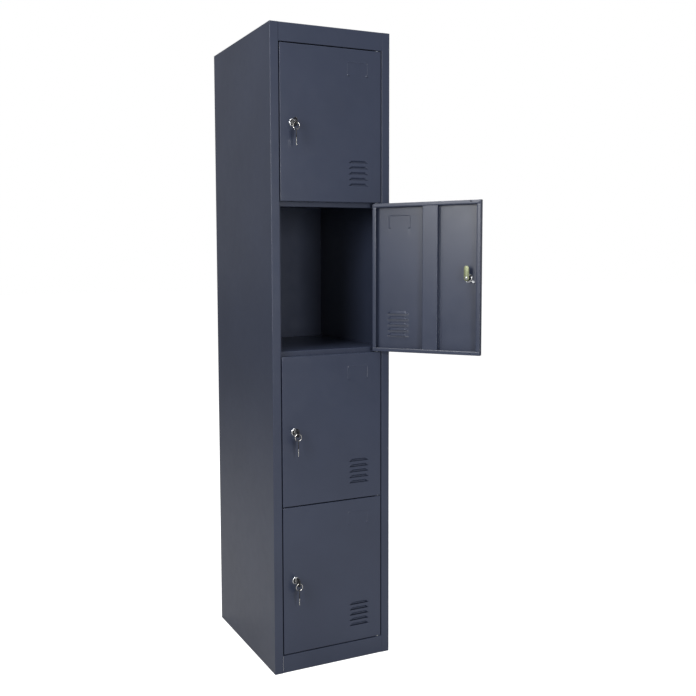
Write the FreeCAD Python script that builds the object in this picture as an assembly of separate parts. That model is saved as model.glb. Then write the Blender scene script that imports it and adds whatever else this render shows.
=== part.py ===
"""Four-tier steel locker: a folded-sheet carcass with four hinged doors, cam locks and keys.

X runs to the right, Y to the back and Z up. The origin is on the floor, at the centre of the
carcass. Sizes are in millimetres and angles in degrees. Door 1 is the highest. Every door is
built shut and then turned about its hinge pin, and door 2 stands open.
"""

import FreeCAD
import Part
import math
import os

# Carcass
WIDTH = 380.0
DEPTH = 450.0
HEIGHT = 1850.0
SHEET = 0.8
BEND = 0.8  # inside radius of every fold
STILE = 26.0
RAIL = 51.5
TIERS = 4
LIP_PLAY = 3.5  # behind a shut door, for its corner to swing past the lips of the shelves
STOP_LIP = 10.0  # strip behind the left stile that the doors shut against
STOP_PLAY = 1.0  # between a shut door and that strip
REAR_FLANGE = 15.0
SHELF_LIP = 25.0
SHELF_HEM = 12.0
SHELF_FLANGE = 15.0
FLANGE_SETBACK = 12.0  # of a side flange from the lip and from the back
RAIL_HEM = 10.0

# Doors
DOOR_GAP = 3.0
DOOR_DEPTH = 19.0
DOOR_LIP = 11.0
OPEN_TURN = (0.0, 127.0, 0.0, 0.0)
DRAIN_HOLE_R = 2.0
DRAIN_FROM_EDGE = 28.0
DRAIN_DROP = 4.5

# Hinges
PIN_FROM_EDGE = 9.5
PIN_FROM_FRONT = 6.0
PIN_R = 2.0
PIN_PLAY = 0.05
PIN_STANDS_IN = 3.0
PLATE = 1.6
PLATE_REACH = 9.0  # from the pin to the plate's free side
PLATE_SETBACK = 1.5
PLATE_TAIL = 12.0  # what shows behind the lip of a shelf
PLATE_ROUND = 4.0
WASHER_R = 4.0
WASHER_PLAY = 0.1

# Louvres and label holder
LOUVRES = 5
LOUVRE_WIDTH = 66.0
LOUVRE_TALL = 8.0
LOUVRE_PITCH = 16.2
LOUVRE_DEEP = 4.5
LOUVRE_FROM_HINGE = 41.0
LOUVRE_FROM_BOTTOM = 46.5
LABEL_WIDTH = 65.0
LABEL_TALL = 38.0
LABEL_FROM_HINGE = 45.0
LABEL_FROM_TOP = 36.5
LABEL_BEAD = 1.6
LABEL_BEAD_TALL = 0.8
LABEL_TAB = 7.0
LABEL_SLOT = 1.5  # cut over each tab

# Stiffener
CROWN = 45.0
CROWN_FROM_HINGE = 176.0
FOOT = 8.0

# Cam lock
LOCK_FROM_EDGE = 38.0
ROSETTE_R = 11.0
ROSETTE_TALL = 2.5
ROSETTE_ROUND = 1.2
BARREL_R = 8.0
BARREL_PLAY = 0.1
BARREL_LONG = 17.5
PLUG_R = 6.0
PLUG_PLAY = 0.05
PLUG_RECESS = 0.5
SQUARE = 7.0
CAM_CLEAR = 0.5  # between the stop strip and a cam turned behind it
CAM_THICK = 1.8
CAM_WIDE = 15.0
CAM_LONG = 35.0
CAM_HUB_R = 9.0
CAM_SCREW_HEAD_R = 4.5
CAM_SCREW_HEAD = 2.4
CAM_SCREW_R = 2.0
CAM_SCREW_LONG = 5.0
NUT_FLATS = 20.0
NUT_THICK = 5.0
LOCK_WASHER_R = 12.0
EAR_REACH = 21.0
EAR_WIDE = 5.0
EAR_TALL = 5.0
EAR_TURN = -38.0  # from level, towards the free edge of the door

# Keys
HEAD_WIDE = 24.0
HEAD_LONG = 26.0
HEAD_THICK = 2.6
HEAD_ROUND = 8.0
HEAD_HOLE_R = 2.75
HEAD_HOLE_FROM_END = 6.0
HEAD_STANDOFF = 3.0
BLADE_WIDE = 7.0
BLADE_THICK = 1.8
BLADE_LONG = 22.5
BLADE_TANG = 1.5
BLADE_POINT = 2.5
KEYWAY_PLAY = 0.1
RING_R = 10.0
RING_WIRE_R = 0.8
RING_PLAY = 0.05  # between the ring and the key in the lock
HANG_PLAY = 0.3  # between the ring and the spare key
SPARE_TWIST = -25.0

SAME = 1e-6  # two lengths closer than this are one

# Worked out from the sizes above
front = -DEPTH / 2
back = DEPTH / 2
inner_x = WIDTH / 2 - SHEET
opening_x = WIDTH / 2 - STILE
lip_y = front + DOOR_DEPTH + LIP_PLAY
stop_y = front + DOOR_DEPTH + STOP_PLAY
panel_back_y = back - SHEET
panel_front_y = panel_back_y - SHEET
door_x = opening_x - DOOR_GAP
door_tall = (HEIGHT - 2 * RAIL - (TIERS + 1) * DOOR_GAP) / TIERS
door_back_y = front + DOOR_DEPTH
pin_x = door_x - PIN_FROM_EDGE
pin_y = front + PIN_FROM_FRONT
lock_x = LOCK_FROM_EDGE - door_x
cam_y = stop_y + SHEET + CAM_CLEAR


def vec(x, y, z):
    """A point or direction."""
    return FreeCAD.Vector(x, y, z)


def block(x0, x1, y0, y1, z0, z1):
    """A box between two corners."""
    return Part.makeBox(x1 - x0, y1 - y0, z1 - z0, vec(x0, y0, z0))


def rod(radius, x, z, y0, y1):
    """A round bar along Y."""
    return Part.makeCylinder(radius, y1 - y0, vec(x, y0, z), vec(0, 1, 0))


def post(radius, x, y, z0, z1):
    """A round bar along Z."""
    return Part.makeCylinder(radius, z1 - z0, vec(x, y, z0), vec(0, 0, 1))


def prism(points, sweep):
    """A straight-sided solid from the corners of its end face."""
    return Part.Face(Part.makePolygon(points + points[:1])).extrude(sweep)


def fold_skin(points, offset):
    """One skin of a folded sheet: its end points, and three points of the arc at each fold."""
    steps = []
    for here, there in zip(points, points[1:]):
        run = math.hypot(there[0] - here[0], there[1] - here[1])
        steps.append(((there[0] - here[0]) / run, (there[1] - here[1]) / run))
    first, last = steps[0], steps[-1]
    skin = [[(points[0][0] - offset * first[1], points[0][1] + offset * first[0])]]
    for point, before, after in zip(points[1:-1], steps, steps[1:]):
        turn = before[0] * after[1] - before[1] * after[0]
        side = math.copysign(1.0, turn)
        shift = offset / (1 + before[0] * after[0] + before[1] * after[1])
        corner = (
            point[0] - shift * (before[1] + after[1]),
            point[1] + shift * (before[0] + after[0]),
        )
        radius = BEND + (SHEET if (turn > 0) == (offset == 0) else 0)
        tangent = radius * math.tan(math.asin(abs(turn)) / 2)
        start = (corner[0] - tangent * before[0], corner[1] - tangent * before[1])
        end = (corner[0] + tangent * after[0], corner[1] + tangent * after[1])
        centre = (start[0] - side * radius * before[1], start[1] + side * radius * before[0])
        reach = math.hypot(corner[0] - centre[0], corner[1] - centre[1])
        share = radius / reach
        middle = (
            centre[0] + share * (corner[0] - centre[0]),
            centre[1] + share * (corner[1] - centre[1]),
        )
        skin.append([start, middle, end])
    skin.append([(points[-1][0] - offset * last[1], points[-1][1] + offset * last[0])])
    return skin


def folded_sheet(points, place, sweep):
    """A sheet folded square along a path and swept straight.

    The points run along one skin, the metal lies to the left of the path, and place puts a
    point of the path into space.
    """
    loop = fold_skin(points, 0.0)
    loop += [corner[::-1] for corner in fold_skin(points, SHEET)[::-1]]
    edges = []
    for corner, following in zip(loop, loop[1:] + loop[:1]):
        if len(corner) == 3:
            edges.append(Part.Arc(*[place(*p) for p in corner]).toShape())
        edges.append(Part.LineSegment(place(*corner[-1]), place(*following[0])).toShape())
    return Part.Face(Part.Wire(edges)).extrude(sweep)


def across(points, half):
    """A folded sheet with its section in the Y-Z plane, reaching half to each side of centre."""
    return folded_sheet(points, lambda y, z: vec(-half, y, z), vec(2 * half, 0, 0))


def upright(points, z0, z1):
    """A folded sheet with its section in plan, from one height to another."""
    return folded_sheet(points, lambda x, y: vec(x, y, z0), vec(0, 0, z1 - z0))


def side_sheet(tail):
    """The left side: rear flange, wall, stile and return, whose last points are given."""
    outer = WIDTH / 2
    path = [(REAR_FLANGE - outer, back), (-outer, back), (-outer, front), (-opening_x, front)]
    sheet = upright(path + tail, 0.0, HEIGHT)
    under_roof = block(
        -opening_x - SHEET - BEND, STOP_LIP - opening_x, front + SHEET, lip_y, HEIGHT - SHEET, HEIGHT
    )
    return sheet.cut(under_roof)


def left_side():
    """Side with the strip that the doors shut against, which ends at the rails."""
    sheet = side_sheet([(-opening_x, stop_y), (STOP_LIP - opening_x, stop_y)])
    for z0, z1 in ((0.0, RAIL), (HEIGHT - RAIL, HEIGHT)):
        sheet = sheet.cut(block(-opening_x, STOP_LIP - opening_x, front, lip_y, z0, z1))
    return sheet


def right_side():
    """Side on the hinge edge, whose return ends at the lips of the shelves."""
    sheet = side_sheet([(-opening_x, lip_y)])
    return sheet.mirror(vec(0, 0, 0), vec(1, 0, 0))


def back_panel():
    """Flat sheet in front of the rear flanges, clear of the folds beside it."""
    half = inner_x - BEND
    return block(-half, half, panel_front_y, panel_back_y, 0.0, HEIGHT - SHEET)


def side_flanges(top):
    """The two edges of a shelf that are folded down against the sides."""
    y0, y1 = lip_y + FLANGE_SETBACK, panel_front_y - FLANGE_SETBACK
    flanges = []
    for x in (-inner_x, inner_x - SHEET):
        flanges.append(block(x, x + SHEET, y0, y1, top - SHELF_FLANGE, top - SHEET))
    return flanges


def top_panel():
    """Roof sheet with the upper rail folded from its front edge."""
    rear = [(panel_front_y, HEIGHT - SHELF_FLANGE), (panel_front_y, HEIGHT)]
    rail_z = HEIGHT - RAIL
    rail = [(front, HEIGHT), (front, rail_z), (lip_y, rail_z), (lip_y, rail_z + RAIL_HEM)]
    sheet = across(rear + rail, opening_x)
    under = HEIGHT - SHEET
    y0, y1 = front + SHEET, panel_back_y
    roof = block(-inner_x, inner_x, y0 + BEND, y1 - BEND, under, HEIGHT)
    roof_ends = block(BEND - inner_x, inner_x - BEND, y0, y1, under, HEIGHT)
    rear_edge = block(
        -inner_x, inner_x, panel_front_y - SHEET, panel_front_y, HEIGHT - SHELF_FLANGE, HEIGHT
    )
    pieces = [roof, roof_ends, rear_edge] + side_flanges(HEIGHT)
    return sheet.multiFuse(pieces).removeSplitter()


def base_panel():
    """Floor sheet with the lower rail folded from its front edge."""
    top = RAIL + SHELF_LIP / 2
    floor = [(panel_front_y, top - SHELF_FLANGE), (panel_front_y, top), (lip_y, top), (lip_y, RAIL)]
    rail = [(front, RAIL), (front, 0.0), (front + SHELF_HEM, 0.0)]
    sheet = across(floor + rail, opening_x)
    wide = across(floor, inner_x)
    return sheet.multiFuse([wide] + side_flanges(top)).removeSplitter()


def gap_centre(number):
    """Height of the middle of a gap between doors, where gap 0 is over the top door."""
    return HEIGHT - RAIL - DOOR_GAP / 2 - number * (door_tall + DOOR_GAP)


def plate_heights(number):
    """Underside and top of a hinge plate. The two end plates lie against the rails."""
    if number == 0:
        top = HEIGHT - RAIL
    elif number == TIERS:
        top = RAIL + PLATE
    else:
        top = gap_centre(number) + PLATE / 2
    return top - PLATE, top


def hinge_plate(number):
    """Flat tab that carries a hinge pin. It reaches from the stile side of a gap past the pin."""
    low, high = plate_heights(number)
    rear = lip_y - BEND if number in (0, TIERS) else lip_y + PLATE_TAIL
    tab = block(pin_x - PLATE_REACH, opening_x, front + PLATE_SETBACK, rear, low, high)
    corner = vec(pin_x - PLATE_REACH, front + PLATE_SETBACK, (low + high) / 2)
    edges = [e for e in tab.Edges if e.CenterOfMass.distanceToPoint(corner) < SAME]
    return tab.makeFillet(PLATE_ROUND, edges)


def shelf(number):
    """Shelf under a gap's upper door, with a slot in its lip for the hinge plate."""
    top = gap_centre(number) + SHELF_LIP / 2
    low = top - SHELF_LIP
    lip = [(lip_y, top), (lip_y, low), (lip_y + SHELF_HEM, low)]
    sheet = across([(panel_front_y, top - SHELF_FLANGE), (panel_front_y, top)] + lip, inner_x)
    sheet = sheet.multiFuse(side_flanges(top)).removeSplitter()
    return sheet.cut(hinge_plate(number))


def pin_reach(number):
    """Lowest and highest point of a hinge pin."""
    low, high = plate_heights(number)
    beyond = DOOR_GAP / 2 + SHEET + PIN_STANDS_IN
    if number > 0:
        high = gap_centre(number) + beyond
    if number < TIERS:
        low = gap_centre(number) - beyond
    return low, high


def hinge_pins():
    """One pin in each hinge plate, standing into the doors above and below it."""
    return [post(PIN_R, pin_x, pin_y, *pin_reach(n)) for n in range(TIERS + 1)]


def hinge_plates():
    """The five hinge plates, each bored for its pin."""
    pins = hinge_pins()
    return [hinge_plate(n).cut(pins[n]) for n in range(TIERS + 1)]


def pivot_washers():
    """A washer on each plate under a door, which carries that door's weight."""
    washers = []
    for number in range(1, TIERS + 1):
        low = plate_heights(number)[1]
        high = gap_centre(number) + DOOR_GAP / 2 - WASHER_PLAY
        bore = post(PIN_R + PIN_PLAY, pin_x, pin_y, low, high)
        washers.append(post(WASHER_R, pin_x, pin_y, low, high).cut(bore))
    return washers


def rim_fillet(solid, y_planes, radius):
    """Rounds the edges of a block that lie in planes square to Y."""
    rim = []
    for edge in solid.Edges:
        y0, y1 = (vertex.Point.y for vertex in edge.Vertexes)
        if abs(y0 - y1) < SAME and any(abs(y0 - y) < SAME for y in y_planes):
            rim.append(edge)
    return solid.makeFillet(radius, rim)


def door_pan(z0, z1):
    """A shallow tray: front skin, four walls and a narrow lip turned in all round."""
    outer = block(-door_x, door_x, front, door_back_y, z0, z1)
    outer = rim_fillet(outer, (front, door_back_y), BEND + SHEET)
    x, y0, y1 = door_x - SHEET, front + SHEET, door_back_y - SHEET
    hollow = rim_fillet(block(-x, x, y0, y1, z0 + SHEET, z1 - SHEET), (y0, y1), BEND)
    mouth = block(
        DOOR_LIP - door_x, door_x - DOOR_LIP, y0 + BEND, door_back_y, z0 + DOOR_LIP, z1 - DOOR_LIP
    )
    return outer.cut(hollow).cut(mouth)


def louvre_wedge(z_low, wall):
    """The wedge under a louvre's hood. With a wall it is the outside of the hood."""
    x1 = door_x - LOUVRE_FROM_HINGE + wall
    x0 = door_x - LOUVRE_FROM_HINGE - LOUVRE_WIDTH - wall
    slope = LOUVRE_TALL / LOUVRE_DEEP
    top = z_low + LOUVRE_TALL + wall * math.hypot(1, slope)
    deep = LOUVRE_DEEP + wall * math.hypot(1, slope) / slope
    corners = [vec(x0, front, z_low), vec(x0, front + deep, z_low), vec(x0, front, top)]
    return prism(corners, vec(x1 - x0, 0, 0))


def add_louvres(pan, z0):
    """Presses the row of louvres inwards. Each is open along its lower edge."""
    for row in range(LOUVRES):
        z_low = z0 + LOUVRE_FROM_BOTTOM + row * LOUVRE_PITCH
        pan = pan.fuse(louvre_wedge(z_low, SHEET)).cut(louvre_wedge(z_low, 0.0))
    return pan


def add_label_holder(pan, z1):
    """Adds the three-sided bead of a card frame, and cuts the slots of the two tabs below it."""
    x1 = door_x - LABEL_FROM_HINGE
    x0 = x1 - LABEL_WIDTH
    top = z1 - LABEL_FROM_TOP
    low = top - LABEL_TALL
    y0, y1 = front - LABEL_BEAD_TALL, front + SHEET
    beads = [block(x0, x1, y0, y1, top - LABEL_BEAD, top)]
    for x in (x0, x1 - LABEL_BEAD):
        beads.append(block(x, x + LABEL_BEAD, y0, y1, low + LABEL_SLOT, top))
    slots = []
    for x in (x0, x1 - LABEL_TAB):
        slots.append(block(x, x + LABEL_TAB, y0, y1, low, low + LABEL_SLOT))
    return pan.multiFuse(beads).removeSplitter().cut(Part.makeCompound(slots))


def door_panel(z0, z1):
    """The door's pan with its holes, louvres and label holder."""
    pan = add_label_holder(add_louvres(door_pan(z0, z1), z0), z1)
    middle = (z0 + z1) / 2
    pan = pan.cut(rod(BARREL_R + BARREL_PLAY, lock_x, middle, front, front + SHEET))
    for z in (z0, z1 - SHEET):
        pan = pan.cut(post(PIN_R + PIN_PLAY, pin_x, pin_y, z, z + SHEET))
    for z in (z0 + DRAIN_DROP, z1 - DRAIN_DROP):
        pan = pan.cut(
            rod(DRAIN_HOLE_R, DRAIN_FROM_EDGE - door_x, z, door_back_y - SHEET, door_back_y)
        )
    return pan


def stiffener(z0, z1):
    """Hat-shaped channel between the skin of the door and its top and bottom lips."""
    centre = door_x - CROWN_FROM_HINGE
    right, left = centre + CROWN / 2, centre - CROWN / 2
    foot_y, crown_y = front + 2 * SHEET, door_back_y - SHEET
    path = [(right + FOOT, foot_y), (right, foot_y), (right, crown_y)]
    path += [(left, crown_y), (left, foot_y), (left - FOOT, foot_y)]
    return upright(path, z0 + SHEET + BEND, z1 - SHEET - BEND)


def lock_housing(z):
    """Chromed rosette and threaded barrel, bored for the plug."""
    rosette = rod(ROSETTE_R, lock_x, z, front - ROSETTE_TALL, front)
    rim = [e for e in rosette.Edges if abs(e.CenterOfMass.y - front + ROSETTE_TALL) < SAME]
    rosette = rosette.makeFillet(ROSETTE_ROUND, rim[:1])
    barrel = rod(BARREL_R, lock_x, z, front, front + BARREL_LONG)
    bore = rod(PLUG_R + PLUG_PLAY, lock_x, z, front - ROSETTE_TALL, front + BARREL_LONG)
    return rosette.fuse(barrel).removeSplitter().cut(bore)


def lock_washer(z):
    """Washer against the inside of the door, with one ear bent up to stop it turning."""
    y0, y1 = front + SHEET, front + 2 * SHEET
    ear = block(lock_x - EAR_REACH, lock_x, y0, y1, z - EAR_WIDE / 2, z + EAR_WIDE / 2)
    tip = block(
        lock_x - EAR_REACH,
        lock_x - EAR_REACH + SHEET,
        y0,
        y1 + EAR_TALL,
        z - EAR_WIDE / 2,
        z + EAR_WIDE / 2,
    )
    ear = ear.fuse(tip)
    ear.rotate(vec(lock_x, 0, z), vec(0, 1, 0), EAR_TURN)
    washer = rod(LOCK_WASHER_R, lock_x, z, y0, y1).fuse(ear).removeSplitter()
    return washer.cut(rod(BARREL_R, lock_x, z, y0, y1))


def lock_nut(z):
    """Hexagon nut that clamps the barrel to the door."""
    y0 = front + 2 * SHEET
    radius = NUT_FLATS / 2 / math.cos(math.pi / 6)
    corners = []
    for step in range(6):
        angle = math.pi / 3 * step
        corners.append(vec(lock_x + radius * math.cos(angle), y0, z + radius * math.sin(angle)))
    nut = prism(corners, vec(0, NUT_THICK, 0))
    return nut.cut(rod(BARREL_R, lock_x, z, y0, y0 + NUT_THICK))


def square_bar(z, y0, y1):
    """The square end of the plug that drives the cam."""
    half = SQUARE / 2
    return block(lock_x - half, lock_x + half, y0, y1, z - half, z + half)


def blade_solid(x, z, y_point, y_root, play):
    """A key blade along Y, with its flat side facing X and its point at y_point."""
    half = BLADE_THICK / 2 + play
    wide = BLADE_WIDE / 2 + play
    corners = [
        vec(x - half, y_root, z - wide),
        vec(x - half, y_root, z + wide),
        vec(x - half, y_point - BLADE_POINT, z + wide),
        vec(x - half, y_point + play, z),
        vec(x - half, y_point - BLADE_POINT, z - wide),
    ]
    return prism(corners, vec(2 * half, 0, 0))


def key_heights():
    """Y of the blade's point, of the head's inner face and of the head's outer end."""
    inner = front - ROSETTE_TALL - HEAD_STANDOFF
    return inner + BLADE_LONG, inner, inner - HEAD_LONG


def lock_plug(z):
    """Turning core with a keyway, a square end and a tapped hole."""
    core = rod(PLUG_R, lock_x, z, front - ROSETTE_TALL + PLUG_RECESS, front + BARREL_LONG)
    core = core.fuse(square_bar(z, front + BARREL_LONG, cam_y + CAM_THICK)).removeSplitter()
    point, head, _ = key_heights()
    core = core.cut(blade_solid(lock_x, z, point, head, KEYWAY_PLAY))
    end = cam_y + CAM_THICK
    return core.cut(rod(CAM_SCREW_R, lock_x, z, end - CAM_SCREW_LONG, end))


def cam(z):
    """Flat arm on the square end of the plug. It points up while the door is unlocked."""
    half = CAM_WIDE / 2
    y0, y1 = cam_y, cam_y + CAM_THICK
    arm = block(lock_x - half, lock_x + half, y0, y1, z, z + CAM_LONG - half)
    tip = rod(half, lock_x, z + CAM_LONG - half, y0, y1)
    plate = rod(CAM_HUB_R, lock_x, z, y0, y1).multiFuse([arm, tip]).removeSplitter()
    return plate.cut(square_bar(z, y0, y1))


def cam_screw(z):
    """Screw that holds the cam on the plug."""
    y = cam_y + CAM_THICK
    head = rod(CAM_SCREW_HEAD_R, lock_x, z, y, y + CAM_SCREW_HEAD)
    return head.fuse(rod(CAM_SCREW_R, lock_x, z, y - CAM_SCREW_LONG, y)).removeSplitter()


def key_head(x, z, y_end, y_inner):
    """Moulded grip of a key, flat side facing X, with a hole near its outer end."""
    half = HEAD_THICK / 2
    wide = HEAD_WIDE / 2
    plate = block(x - half, x + half, y_end, y_inner, z - wide, z + wide)
    corners = [e for e in plate.Edges if abs(e.Length - HEAD_THICK) < SAME]
    plate = plate.makeFillet(HEAD_ROUND, corners)
    hole = Part.makeCylinder(
        HEAD_HOLE_R, HEAD_THICK, vec(x - half, y_end + HEAD_HOLE_FROM_END, z), vec(1, 0, 0)
    )
    return plate.cut(hole)


def key_at(x, z, y_inner):
    """Head and blade of a key that points to the back."""
    blade = blade_solid(x, z, y_inner + BLADE_LONG, y_inner - BLADE_TANG, 0.0)
    return [key_head(x, z, y_inner - HEAD_LONG, y_inner).cut(blade), blade]


def key(z):
    """The key in the plug."""
    return key_at(lock_x, z, key_heights()[1])


def ring_centre(z):
    """Middle of the ring that hangs in the hole of the key."""
    drop = HEAD_HOLE_R - RING_WIRE_R - RING_PLAY + RING_R
    return vec(lock_x, key_heights()[2] + HEAD_HOLE_FROM_END, z - drop)


def key_ring(z):
    """Wire ring through both keys, square to the flat of the key in the lock."""
    return Part.makeTorus(RING_R, RING_WIRE_R, ring_centre(z), vec(0, 1, 0))


def spare_key(z):
    """Second key, hanging from the bottom of the ring and turned a little."""
    centre = ring_centre(z)
    hole_z = centre.z - RING_R + RING_WIRE_R + HANG_PLAY - HEAD_HOLE_R
    y_inner = centre.y + HEAD_LONG - HEAD_HOLE_FROM_END
    solids = key_at(lock_x, hole_z, y_inner)
    for solid in solids:
        solid.rotate(vec(lock_x, centre.y, hole_z), vec(1, 0, 0), -90)
        solid.rotate(vec(lock_x, centre.y, hole_z), vec(0, 0, 1), SPARE_TWIST)
    return solids


def door_pieces(number):
    """Everything that a door carries, by node name, with the door turned to where it stands."""
    z1 = gap_centre(number - 1) - DOOR_GAP / 2
    z0 = z1 - door_tall
    z = (z0 + z1) / 2
    pieces = {
        "panel": [door_panel(z0, z1)],
        "stiffener": [stiffener(z0, z1)],
        "lock_housing": [lock_housing(z)],
        "lock_washer": [lock_washer(z)],
        "lock_nut": [lock_nut(z)],
        "lock_plug": [lock_plug(z)],
        "cam": [cam(z)],
        "cam_screw": [cam_screw(z)],
        "key": key(z),
        "key_ring": [key_ring(z)],
        "spare_key": spare_key(z),
    }
    for solids in pieces.values():
        for solid in solids:
            solid.rotate(vec(pin_x, pin_y, 0), vec(0, 0, 1), OPEN_TURN[number - 1])
    return {f"door_{number}_{name}": solids for name, solids in pieces.items()}


def export(name, solids):
    """Writes one node."""
    shape = solids[0] if len(solids) == 1 else Part.makeCompound(solids)
    if not shape.isValid():
        raise ValueError(name + " is not a valid shape")
    shape.exportStep(os.path.join("parts", name + ".step"))


def main():
    """Builds every node and writes it."""
    os.makedirs("parts", exist_ok=True)
    nodes = {
        "left_side": [left_side()],
        "right_side": [right_side()],
        "back_panel": [back_panel()],
        "top_panel": [top_panel()],
        "base_panel": [base_panel()],
        "hinge_plates": hinge_plates(),
        "hinge_pins": hinge_pins(),
        "pivot_washers": pivot_washers(),
    }
    for number in range(1, TIERS):
        nodes[f"shelf_{number}"] = [shelf(number)]
    for number in range(1, TIERS + 1):
        nodes.update(door_pieces(number))
    for name, solids in nodes.items():
        export(name, solids)
    print(len(nodes), "nodes")


main()
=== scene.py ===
"""Four-tier steel locker with its second door open, on a pale studio floor. Lengths in metres."""

import math

import bmesh
import bpy
import numpy as np
from mathutils import Matrix, Vector


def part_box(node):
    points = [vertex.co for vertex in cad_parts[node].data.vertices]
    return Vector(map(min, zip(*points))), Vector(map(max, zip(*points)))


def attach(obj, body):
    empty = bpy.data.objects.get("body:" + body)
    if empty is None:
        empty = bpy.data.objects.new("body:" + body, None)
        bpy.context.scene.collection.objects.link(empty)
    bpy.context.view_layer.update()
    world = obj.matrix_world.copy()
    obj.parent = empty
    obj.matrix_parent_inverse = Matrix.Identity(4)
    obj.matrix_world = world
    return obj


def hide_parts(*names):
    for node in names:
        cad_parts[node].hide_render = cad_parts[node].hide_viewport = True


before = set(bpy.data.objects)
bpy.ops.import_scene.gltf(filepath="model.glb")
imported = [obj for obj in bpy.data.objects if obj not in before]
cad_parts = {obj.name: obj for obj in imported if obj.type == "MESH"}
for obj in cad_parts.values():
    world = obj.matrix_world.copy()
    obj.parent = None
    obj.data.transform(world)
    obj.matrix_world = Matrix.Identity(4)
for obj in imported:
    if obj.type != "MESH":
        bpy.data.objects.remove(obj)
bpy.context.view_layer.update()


# ---- Carcass sheets and door stiffeners --------------------------------------------------
# Two sides, a back, a roof, a floor and three shelves, folded from thin steel sheet and spot
# welded. Everything is powder coated after welding in a dark graphite blue, baked to a satin
# skin with a faint orange peel.

CARCASS_SHEETS = (
    "left_side", "right_side", "back_panel", "top_panel", "base_panel",
    "shelf_1", "shelf_2", "shelf_3", "hinge_plates",
)
DOORS = (1, 2, 3, 4)
COAT_COLOUR = (0.030, 0.038, 0.066)
COAT_DRIFT = 0.07
COAT_ROUGHNESS = (0.28, 0.33)
COAT_IOR = 1.5
CLOUD_SIZE = 0.22  # slow drift of the coat's tone
GLOSS_SIZE = 0.03
PEEL_SIZE = 0.0016
PEEL_HEIGHT = 0.00002


def noise_on_metal(tree, size, detail, stretch=(1, 1, 1)):
    """Noise whose grains are `size` across, longer along an axis whose stretch is under one."""
    place = tree.nodes.new("ShaderNodeTexCoord")
    mapping = tree.nodes.new("ShaderNodeMapping")
    mapping.inputs["Scale"].default_value = stretch
    noise = tree.nodes.new("ShaderNodeTexNoise")
    noise.inputs["Scale"].default_value = 1 / size
    noise.inputs["Detail"].default_value = detail
    tree.links.new(place.outputs["Object"], mapping.inputs["Vector"])
    tree.links.new(mapping.outputs["Vector"], noise.inputs["Vector"])
    return noise.outputs["Fac"]


def spread(tree, value, low, high, bounds=(0.3, 0.7)):
    """Stretches the middle of a noise over the range from low to high."""
    node = tree.nodes.new("ShaderNodeMapRange")
    node.inputs["From Min"].default_value, node.inputs["From Max"].default_value = bounds
    node.inputs["To Min"].default_value, node.inputs["To Max"].default_value = low, high
    tree.links.new(value, node.inputs["Value"])
    return node.outputs["Result"]


def blend_colours(tree, value, first, second):
    """Goes from the first colour to the second as the value goes from 0 to 1."""
    node = tree.nodes.new("ShaderNodeMix")
    node.data_type = "RGBA"
    tree.links.new(value, node.inputs["Factor"])
    colours = [s for s in node.inputs if s.type == "RGBA"]
    for socket, colour in zip(colours, (first, second)):
        socket.default_value = (*colour, 1)
    return next(s for s in node.outputs if s.type == "RGBA")


def relief(tree, value, height):
    """Turns a noise into a surface relief of the given height."""
    node = tree.nodes.new("ShaderNodeBump")
    node.inputs["Distance"].default_value = height
    tree.links.new(value, node.inputs["Height"])
    return node.outputs["Normal"]


def new_finish(name, metallic):
    """An empty finish, its node tree and its shader."""
    finish = bpy.data.materials.new(name)
    finish.use_nodes = True
    shader = finish.node_tree.nodes["Principled BSDF"]
    shader.inputs["Metallic"].default_value = metallic
    return finish, finish.node_tree, shader


def powder_coat():
    """Satin coat: slow clouds of tone, finer changes of gloss, and orange peel."""
    finish, tree, shader = new_finish("powder_coat", 0.0)
    shader.inputs["IOR"].default_value = COAT_IOR
    clouds = spread(tree, noise_on_metal(tree, CLOUD_SIZE, 3.0), 0.0, 1.0)
    darker = [(1 - COAT_DRIFT) * c for c in COAT_COLOUR]
    lighter = [(1 + COAT_DRIFT) * c for c in COAT_COLOUR]
    tree.links.new(blend_colours(tree, clouds, darker, lighter), shader.inputs["Base Color"])
    gloss = spread(tree, noise_on_metal(tree, GLOSS_SIZE, 4.0), *COAT_ROUGHNESS)
    tree.links.new(gloss, shader.inputs["Roughness"])
    peel = noise_on_metal(tree, PEEL_SIZE, 1.0)
    tree.links.new(relief(tree, peel, PEEL_HEIGHT), shader.inputs["Normal"])
    return finish


def coat(node, finish):
    """Gives a node of the frame its finish."""
    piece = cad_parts[node]
    piece.data.materials.clear()
    piece.data.materials.append(finish)


POWDER_COAT = powder_coat()
for sheet in CARCASS_SHEETS:
    coat(sheet, POWDER_COAT)
for door in DOORS:
    coat(f"door_{door}_stiffener", POWDER_COAT)


# ---- Door pans ---------------------------------------------------------------------------
# Each door is one sheet folded into a shallow tray with a narrow lip all round. The louvres
# are pressed inwards and lanced along their lower edges. The card frame is a bead pressed
# outwards, over two lanced tabs.

SHEET = 0.0008
HALF_DOOR = 0.161
DOOR_DEPTH = 0.019
FRONT = -0.225
FOLD = 0.0016
LIP = 0.011
PIN = (0.1515, -0.219)
OPEN_TURN = {1: 0.0, 2: 127.0, 3: 0.0, 4: 0.0}
BEYOND = 10.0  # farther out than any edge, so that it is drawn in to the door's own edge
SLIT = 1e-6

LOUVRES = 5
LOUVRE_WIDE = 0.066
LOUVRE_TALL = 0.008
LOUVRE_PITCH = 0.0162
LOUVRE_DEEP = 0.0042
LOUVRE_SLANT = 0.010  # how far its top edge stops short of the lance at each end
LOUVRE_WALL = 0.0040
LOUVRE_RIGHT = HALF_DOOR - 0.041
LOUVRE_LOWEST = 0.0465

CARD_WIDE = 0.065
CARD_TALL = 0.038
CARD_CORNER = 0.005
CARD_RIGHT = HALF_DOOR - 0.045
CARD_TOP = 0.0365
BEAD_HALF = 0.0011
BEAD_HEIGHT = 0.0005
TAB_WIDE = 0.007
TAB_TALL = 0.0032
TAB_HEIGHT = 0.0013
TAB_WALL = 0.0012

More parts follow.
